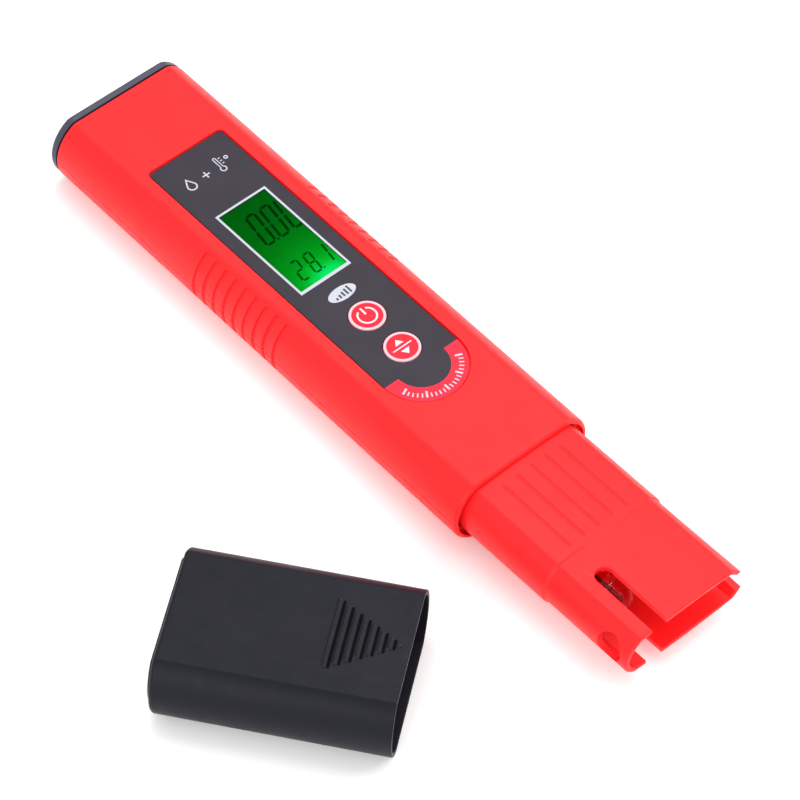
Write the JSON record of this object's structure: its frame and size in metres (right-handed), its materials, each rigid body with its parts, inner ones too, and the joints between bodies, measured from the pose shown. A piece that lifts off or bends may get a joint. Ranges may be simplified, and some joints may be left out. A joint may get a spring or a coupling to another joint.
{
  "type": "ph test pen",
  "caption": "Flat pen-shaped pH and temperature tester with display, press buttons, slotted sensor guard, pull-out battery carrier and loose storage cap.",
  "frame": {"origin": "on the pen's flat back face, midway across it and 93.3 mm from the outer face of the battery cap, on the plane that the pen and its cap lie on", "axes": "+X along the pen towards the probe tip, +Z out of the display face, +Y across the pen; the storage cap lies beside the pen on its -Y side"},
  "size_m": [0.1873, 0.1148, 0.0183],
  "materials": {
    "red_abs": "satin injection-moulded ABS, bright coral red",
    "slate_abs": "satin moulded ABS, dark slate",
    "black_abs": "satin moulded ABS, near black",
    "printed_film": "matt printed polycarbonate film, slate with a crimson band",
    "clear_window": "clear polycarbonate",
    "lcd": "liquid crystal cell lit green",
    "light_guide": "translucent acrylic",
    "button_plastic": "satin crimson with a pale ring",
    "circuit_board": "green solder mask",
    "chip_epoxy": "black moulding compound",
    "rubber": "silicone rubber",
    "steel": "plain stainless steel",
    "silver": "silver plated",
    "glass": "thin clear electrode glass",
    "ceramic": "porous ceramic or polymer junction",
    "cable_jacket": "PVC jacket"
  },
  "bodies": {
    "pen": {"front_shell": "red_abs", "rear_shell": "red_abs", "probe_housing": "red_abs", "battery_contact": "silver", "face_panel": "printed_film", "display_window": "clear_window", "lcd_glass": "lcd", "backlight_panel": "light_guide", "lcd_connector_left": "rubber", "lcd_connector_right": "rubber", "power_switch": "chip_epoxy", "calibration_switch": "chip_epoxy", "circuit_board": "circuit_board", "controller_chip": "chip_epoxy", "quartz_crystal": "silver", "board_screw_left": "steel", "board_screw_right": "steel", "probe_seal": "rubber", "electrode_stem": "glass", "glass_bulb": "glass", "silver_wire": "silver", "reference_junction": "ceramic", "temperature_probe": "steel", "electrode_cable": "cable_jacket", "temperature_cable": "cable_jacket"},
    "battery_carrier": {"battery_cap": "slate_abs", "battery_cap_seal": "rubber", "battery_tray": "black_abs", "battery_cell_1": "steel", "battery_cell_2": "steel", "battery_cell_3": "steel", "battery_cell_4": "steel", "battery_spring": "steel"},
    "power_key": {"power_button": "button_plastic", "power_plunger": "black_abs"},
    "calibration_key": {"calibration_button": "button_plastic", "calibration_plunger": "black_abs"},
    "storage_cap": {"cap_shell": "black_abs"}
  },
  "joints": [
    {"name": "battery_pull", "type": "slide", "parent": "pen", "child": "battery_carrier", "axis": [-1, 0, 0], "range_m": [0, 0.036]},
    {"name": "power_press", "type": "slide", "parent": "pen", "child": "power_key", "axis": [0, 0, -1], "range_m": [0, 0.0004], "stiffness_N_per_m": 1500},
    {"name": "calibration_press", "type": "slide", "parent": "pen", "child": "calibration_key", "axis": [0, 0, -1], "range_m": [0, 0.0004], "stiffness_N_per_m": 1500},
    {"name": "cap_pull", "type": "slide", "parent": "pen", "child": "storage_cap", "axis": [-0.8023, -0.5969, 0], "range_m": [0, 0.05]}
  ]
}
